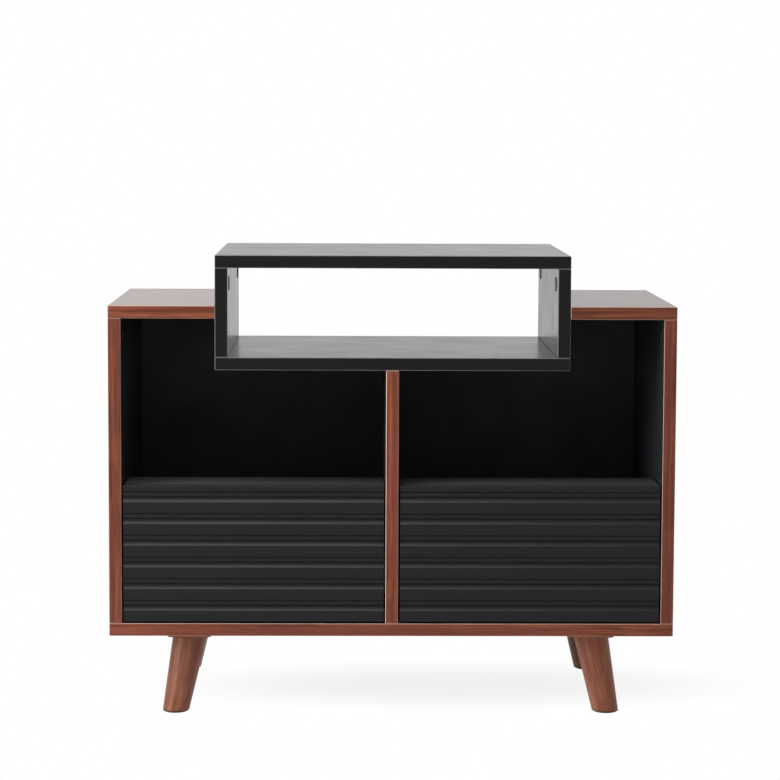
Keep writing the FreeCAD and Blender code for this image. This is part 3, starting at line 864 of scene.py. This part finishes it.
# ---- pieces
def turn_leg(end, side, way_x, way_y):
    """A tapered leg, turned upright, leant outwards and cut level at its top and foot."""
    name = f"{end}_{side}_leg"
    foot = Vector((way_x * foot_spot.x, way_y * foot_spot.y, foot_spot.z))
    top = Vector((foot.x - way_x * leg_lean, foot.y - way_y * leg_lean, leg_top_z))
    rise = top - foot
    spare = leg_top_radius
    taper = (leg_top_radius - leg_foot_radius) / rise.length
    leg = new_piece(
        "turned_" + name, bpy.ops.mesh.primitive_cone_add, vertices=leg_rim,
        radius1=leg_foot_radius - taper * spare, radius2=leg_top_radius + taper * spare,
        depth=rise.length + 2 * spare, location=(foot + top) / 2,
        rotation=rise.to_track_quat("Z", "Y").to_euler(),
    )
    settle(leg)
    open_piece(leg)
    bpy.ops.mesh.select_all(action="SELECT")
    bpy.ops.mesh.bisect(plane_co=foot, plane_no=(0, 0, 1), use_fill=True, clear_inner=True)
    bpy.ops.mesh.select_all(action="SELECT")
    bpy.ops.mesh.bisect(plane_co=top, plane_no=(0, 0, 1), use_fill=True, clear_outer=True)
    pick(leg, "EDGE", lambda place: near(place.z, foot.z))
    bpy.ops.mesh.bevel(offset=foot_round, segments=4, profile=0.5)
    close_piece()
    smooth(leg)
    dress(leg, "cabinet", "stained_leg", leg_wood, name)


def shape_leg_block(end, side):
    """The block between a leg and the bottom panel, with round corners and soft edges."""
    name = f"{end}_{side}_leg_block"
    low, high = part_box(name)
    block = block_piece("shaped_" + name, low, high)
    open_piece(block)
    pick_upright_edges(block)
    bpy.ops.mesh.bevel(offset=block_corner, segments=10, profile=0.5)
    pick(block, "EDGE", lambda place: near(place.z, low.z))
    bpy.ops.mesh.bevel(offset=block_edge_round, segments=3, profile=0.5)
    close_piece()
    smooth(block)
    dress(block, "cabinet", "stained_block", block_wood, name)


def arc_through(start, via, end, steps):
    """Points after start on the circle through three points of a plane, up to end."""
    (ax, ay), (bx, by), (cx, cy) = start, via, end
    scale = 2 * (ax * (by - cy) + bx * (cy - ay) + cx * (ay - by))
    a2, b2, c2 = ax * ax + ay * ay, bx * bx + by * by, cx * cx + cy * cy
    middle = ((a2 * (by - cy) + b2 * (cy - ay) + c2 * (ay - by)) / scale,
              (a2 * (cx - bx) + b2 * (ax - cx) + c2 * (bx - ax)) / scale)
    radius = math.dist(middle, start)
    first = math.atan2(ay - middle[1], ax - middle[0])
    last = math.atan2(cy - middle[1], cx - middle[0])
    through = math.atan2(by - middle[1], bx - middle[0])
    sweep = (last - first) % math.tau
    if (through - first) % math.tau > sweep:
        sweep -= math.tau
    angles = [first + sweep * step / steps for step in range(1, steps + 1)]
    return [(middle[0] + radius * math.cos(angle), middle[1] + radius * math.sin(angle))
            for angle in angles]


def front_outline(thickness, height):
    """A drawer front's outline as (depth, drop) points, and which of them are groove lips."""
    bend = 1 - math.sqrt(0.5)  # how far in the middle of a quarter round lies, in radii
    rise = groove_height - cove_start
    slope = math.hypot(rise, groove_depth)
    cove_depth = groove_depth / 2 + cove_hollow * rise / slope
    cove_drop = (cove_start + groove_height) / 2 + cove_hollow * groove_depth / slope
    points = [(front_top_round, 0.0)]
    points += arc_through(points[0], (front_top_round * bend, front_top_round * bend),
                          (0.0, front_top_round), front_top_steps)
    lips = []
    for number in range(groove_count):
        drop = groove_first + number * groove_pitch
        bead_foot = (bead_foot_depth, drop + bead_height)
        groove_end = (0.0, drop + groove_height)
        lips += [(0.0, drop), bead_foot, groove_end]
        points += [(0.0, drop), (groove_lip_depth, drop)]
        points += arc_through(points[-1], (bead_depth, drop + bead_height / 2), bead_foot, bead_steps)
        points += [(groove_depth, drop + cove_start)]
        points += arc_through(points[-1], (cove_depth, drop + cove_drop), groove_end, cove_steps)
    points += [(0.0, height - front_foot_round)]
    points += arc_through(points[-1], (front_foot_round * bend, height - front_foot_round * bend),
                          (front_foot_round, height), front_foot_steps)
    points += [(thickness, height), (thickness, 0.0)]
    return points, lips


def mill_drawer_front(drawer):
    """A drawer front: its grooved outline drawn on one end, and pulled across the drawer's width."""
    name = drawer + "_front"
    low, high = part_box(name)
    points, lips = front_outline(high.y - low.y, high.z - low.z)
    front = new_piece("milled_" + name, bpy.ops.mesh.primitive_circle_add, vertices=len(points),
                      radius=high.y - low.y, fill_type="NGON", rotation=(0, math.pi / 2, 0))
    settle(front)
    open_piece(front)
    bpy.ops.mesh.select_mode(type="VERT")
    shape = bmesh.from_edit_mesh(front.data)
    shape.verts.ensure_lookup_table()
    starts = [corner.co.copy() for corner in shape.verts]
    for number, (depth, drop) in enumerate(points):
        bpy.ops.mesh.select_all(action="DESELECT")
        shape = bmesh.from_edit_mesh(front.data)
        shape.verts.ensure_lookup_table()
        shape.verts[number].select_set(True)
        bmesh.update_edit_mesh(front.data)
        place = Vector((low.x, low.y + depth, high.z - drop))
        bpy.ops.transform.translate(value=place - starts[number])
    lip_places = [Vector((low.x, low.y + depth, high.z - drop)) for depth, drop in lips]
    pick(front, "VERT", lambda place: any((place - lip).length < 1e-5 for lip in lip_places))
    bpy.ops.mesh.bevel(offset=lip_round, segments=3, affect="VERTICES")
    bpy.ops.mesh.select_all(action="SELECT")
    bpy.ops.mesh.extrude_region_move(TRANSFORM_OT_translate={"value": (high.x - low.x, 0, 0)})
    close_piece()
    bottom_low, bottom_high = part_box(drawer + "_bottom")
    slot_low = (bottom_low.x - slot_play, high.y - floor_groove_depth, bottom_low.z)
    slot_high = (bottom_high.x + slot_play, high.y + cutter_overrun, bottom_high.z + slot_play)
    cut(front, block_piece("floor_slot", slot_low, slot_high))
    smooth(front)
    dress(front, drawer, "black_lacquer", front_lacquer, name)


def shape_ledge(drawer):
    """The wide ledge behind a drawer front, with a soft rear edge."""
    name = drawer + "_ledge"
    low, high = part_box(name)
    ledge = block_piece("shaped_" + name, low, high)
    open_piece(ledge)
    pick(ledge, "EDGE", lambda place: near(place.z, high.z) and near(place.y, high.y))
    bpy.ops.mesh.bevel(offset=ledge_rear_round, segments=6, profile=0.5)
    pick(ledge, "EDGE", lambda place: near(place.x, low.x) or near(place.x, high.x))
    bpy.ops.mesh.bevel(offset=ledge_edge_round, segments=2, profile=0.5)
    close_piece()
    smooth(ledge)
    dress(ledge, drawer, "drawer_laminate", ledge_laminate_painted_reflection, name)


def press_cam_covers():
    """Round covers over the cams: a disc with a soft rim and a shallow dish, set on each spot."""
    cover = new_piece("cam_cover", bpy.ops.mesh.primitive_cylinder_add, vertices=cover_rim,
                      radius=cover_radius, depth=cover_thickness)
    open_piece(cover)
    top = cover_thickness / 2
    pick(cover, "FACE", lambda place: near(place.z, top))
    bpy.ops.mesh.inset(thickness=cover_radius * cover_border_share)
    bpy.ops.mesh.inset(thickness=cover_radius * cover_slope_share)
    bpy.ops.transform.translate(value=(0, 0, -cover_thickness * cover_dish_share))
    pick(cover, "EDGE", lambda place: near(place.z, top) and near(place.xy.length, cover_radius))
    bpy.ops.mesh.bevel(offset=cover_thickness * cover_round_share, segments=3, profile=0.5)
    close_piece()
    spots = []
    for low, high in solids_of("cam_covers"):
        middle = (low + high) / 2
        if high.z - low.z < cover_radius:
            facing = (0, 0, -1)
        elif abs(middle.x) < board:
            facing = (math.copysign(1, middle.x), 0, 0)
        else:
            facing = (-math.copysign(1, middle.x), 0, 0)
        spots.append((middle, facing))
    covers = set_copies(cover, spots, "pressed_cam_covers")
    smooth(covers)
    dress(covers, "cabinet", "cover_plastic", plastic, "cam_covers")


def forge_screws(node, radius, head_radius, facing):
    """Countersunk screws with a cross recess, one in each place that the CAD node has one."""
    facing = Vector(facing)
    boxes = solids_of(node)
    low, high = boxes[0]
    length = abs((high - low).dot(facing))
    head_depth = head_radius - radius
    screw = new_piece("screw", bpy.ops.mesh.primitive_cylinder_add, vertices=screw_rim,
                      radius=radius, depth=length - head_depth,
                      location=(0, 0, -(length + head_depth) / 2))
    settle(screw)
    open_piece(screw)
    pick(screw, "FACE", lambda place: near(place.z, -head_depth))
    bpy.ops.mesh.extrude_region_move(TRANSFORM_OT_translate={"value": (0, 0, head_depth)})
    bpy.ops.transform.resize(value=(head_radius / radius, head_radius / radius, 1),
                             center_override=(0, 0, 0))
    pick(screw, "EDGE", lambda place: near(place.z, -length))
    bpy.ops.mesh.bevel(offset=radius * tip_round_share, segments=2, profile=0.5)
    close_piece()
    long = head_radius * recess_reach_share
    short = recess_width / 2
    for half_x, half_y in ((long, short), (short, long)):
        recess_low = (-half_x, -half_y, -head_depth * recess_depth_share)
        cut(screw, block_piece("recess", recess_low, (half_x, half_y, cutter_overrun)))
    spots = [((low + high) / 2 + facing * (length / 2), facing) for low, high in boxes]
    screws = set_copies(screw, spots, "forged_" + node)
    smooth(screws)
    dress(screws, "cabinet", "zinc_steel", screw_steel, node)


def round_off(node, body, slot, finish):
    """A merged copy of a CAD node with its curved faces shaded smooth."""
    copy = copy_piece(cad_nodes[node], "smooth_" + node)
    for key in list(copy.keys()):
        del copy[key]
    copy.parent = None
    open_piece(copy)
    bpy.ops.mesh.customdata_custom_splitnormals_clear()
    bpy.ops.mesh.select_all(action="SELECT")
    bpy.ops.mesh.remove_doubles(threshold=1e-6)
    bpy.ops.object.mode_set(mode="OBJECT")
    smooth(copy, angle=40.0)
    dress(copy, body, slot, finish, node)


for end, way_y in (("front", -1), ("back", 1)):
    for side, way_x in (("left", -1), ("right", 1)):
        turn_leg(end, side, way_x, way_y)
        shape_leg_block(end, side)
for side in ("left", "right"):
    mill_drawer_front(side + "_drawer")
    shape_ledge(side + "_drawer")
press_cam_covers()
for kind in screw_kinds:
    forge_screws(*kind)
round_off("foot_pads", "cabinet", "foot_felt", felt)
for side in ("left", "right"):
    for row in ("outer", "inner"):
        cages = f"{side}_drawer_{row}_ball_cages"
        round_off(cages, f"{side}_{row}_cages", "runner_zinc", runner_steel)

# ---- finishes of the CAD nodes that stay
kept_finishes = {
    upright_walnut: ["left_side_panel", "right_side_panel", "centre_divider"],
    lying_walnut: ["bottom_panel", "left_top_board"],
    right_top_walnut_shaded: ["right_top_board"],
    band_walnut: ["walnut_edge_bands"],
    riser_black: ["riser_bottom_panel", "riser_top_panel", "riser_left_side", "riser_right_side"],
    back_board: ["left_back_panel", "right_back_panel"],
    beech: ["dowels"],
    alloy: ["cam_locks"],
    screw_steel: ["cam_bolts", "leg_bolts", "leg_inserts", "runner_screws"],
}
for drawer in ("left_drawer", "right_drawer"):
    for part in ("left_side", "right_side", "back", "bottom"):
        kept_finishes.setdefault(drawer_laminate, []).append(f"{drawer}_{part}")
    kept_finishes[beech].append(drawer + "_dowels")
    kept_finishes[screw_steel] += [drawer + "_brackets", drawer + "_screws"]
    for part in ("outer_runners", "middle_runners", "inner_runners"):
        kept_finishes.setdefault(runner_steel, []).append(f"{drawer}_{part}")
for finish, names in kept_finishes.items():
    for name in names:
        cad_nodes[name].data.materials.clear()
        cad_nodes[name].data.materials.append(finish)


# ---- studio
floor_size = 60.0
floor_chalk = (0.95, 0.95, 0.95, 1)
floor_glow = 0.86
shadow_half_width = 0.355
shadow_half_depth = 0.135
shadow_middle = (0.10, 0.03, 0.0)
shadow_fade = (0.4, 1.6)
room_light = 0.17
room_blue = 1.01
# each lamp's name, place, aim, width, height and watts, and whether gloss mirrors it
lamps = [
    ("left_softbox", (-2.1, -1.35, 0.85), (0, -0.2, 0.35), 1.0, 1.4, 42.0, True),
    ("overhead_softbox", (-0.7, -1.0, 2.9), (-0.15, -0.2, 0.4), 2.2, 1.5, 76.0, True),
    ("rear_left_softbox", (-1.3, 2.4, 1.7), (0, 0, 0.3), 1.6, 1.2, 22.0, False),
    ("right_softbox", (2.3, 0.9, 1.5), (0, 0, 0.3), 1.4, 1.2, 4.5, False),
]
camera_place = Vector((-0.0644, -3.9712, 0.8378))
camera_yaw = 0.0161
camera_pitch = 0.0977
camera_roll = 0.0042
image_width = 780
focal_pixels = 2694.0


def lay_floor():
    """A plain white floor that keeps a soft share of the cabinet's shadow near the cabinet."""
    floor = new_piece("studio_floor", bpy.ops.mesh.primitive_plane_add, size=floor_size,
                      location=(0, 0, 0))
    finish = bpy.data.materials.new("studio_floor")
    finish.use_nodes = True
    tree = finish.node_tree
    tree.nodes.clear()
    chalk = put(tree, "BsdfDiffuse", {"Color": floor_chalk})
    glow = put(tree, "Emission", {"Color": (1, 1, 1, 1), "Strength": 1.0})
    path = put(tree, "LightPath").outputs
    seen = calc(tree, "MAXIMUM", path["Is Camera Ray"], path["Is Glossy Ray"])
    places = tree.nodes.new("ShaderNodeTexCoord").outputs["Object"]
    moved = put(tree, "VectorMath", {0: places, 1: shadow_middle}, operation="SUBTRACT").outputs[0]
    round_places = stretch(tree, moved, (1 / shadow_half_width, 1 / shadow_half_depth, 0))
    distance = put(tree, "VectorMath", {0: round_places}, operation="LENGTH").outputs["Value"]
    far = ramp(tree, distance, *shadow_fade)
    amount = rising(tree, far, factor=1 - floor_glow, start=floor_glow)
    amount = times(tree, seen, amount)
    surface = put(tree, "MixShader", {0: amount, 1: chalk.outputs[0], 2: glow.outputs[0]})
    put(tree, "OutputMaterial", {"Surface": surface.outputs[0]})
    floor.data.materials.append(finish)


def hang_lamp(name, place, aim, width, height, power, mirrored):
    """A soft rectangular lamp that the camera itself doesn't see, mirrored in gloss or not."""
    lamp = bpy.data.lights.new(name, "AREA")
    lamp.shape = "RECTANGLE"
    lamp.size = width
    lamp.size_y = height
    lamp.energy = power
    holder = bpy.data.objects.new(name, lamp)
    bpy.context.scene.collection.objects.link(holder)
    holder.location = place
    holder.rotation_euler = (Vector(aim) - holder.location).to_track_quat("-Z", "Y").to_euler()
    holder.visible_camera = False
    holder.visible_glossy = mirrored


def light_room():
    """An even pale room that looks white, and its soft lamps."""
    room = bpy.data.worlds.new("studio")
    bpy.context.scene.world = room
    room.use_nodes = True
    tree = room.node_tree
    tree.nodes.clear()
    path = put(tree, "LightPath").outputs
    seen = calc(tree, "MAXIMUM", path["Is Camera Ray"], path["Is Glossy Ray"])
    seen = calc(tree, "MAXIMUM", seen, path["Is Transmission Ray"])
    air = (room_light, room_light, room_light * room_blue, 1)
    colour = blend(tree, seen, air, (1, 1, 1, 1))
    glow = put(tree, "Background", {"Color": colour, "Strength": 1.0})
    put(tree, "OutputWorld", {"Surface": glow.outputs[0]})
    for lamp in lamps:
        hang_lamp(*lamp)


def set_camera():
    """The camera stands in front, a little above the cabinet, and looks slightly down."""
    flat = math.cos(camera_pitch)
    ahead = Vector((math.sin(camera_yaw) * flat, math.cos(camera_yaw) * flat, -math.sin(camera_pitch)))
    level = Vector((math.cos(camera_yaw), -math.sin(camera_yaw), 0))
    up = level.cross(ahead)
    right = level * math.cos(camera_roll) + up * math.sin(camera_roll)
    top = up * math.cos(camera_roll) - level * math.sin(camera_roll)
    camera = bpy.data.objects.new("camera", bpy.data.cameras.new("camera"))
    bpy.context.scene.collection.objects.link(camera)
    camera.data.lens = focal_pixels / image_width * camera.data.sensor_width
    turn = Matrix((right, top, -ahead)).transposed()
    camera.matrix_world = Matrix.Translation(camera_place) @ turn.to_4x4()
    bpy.context.scene.camera = camera


lay_floor()
light_room()
set_camera()
bpy.context.scene.view_settings.view_transform = "Standard"
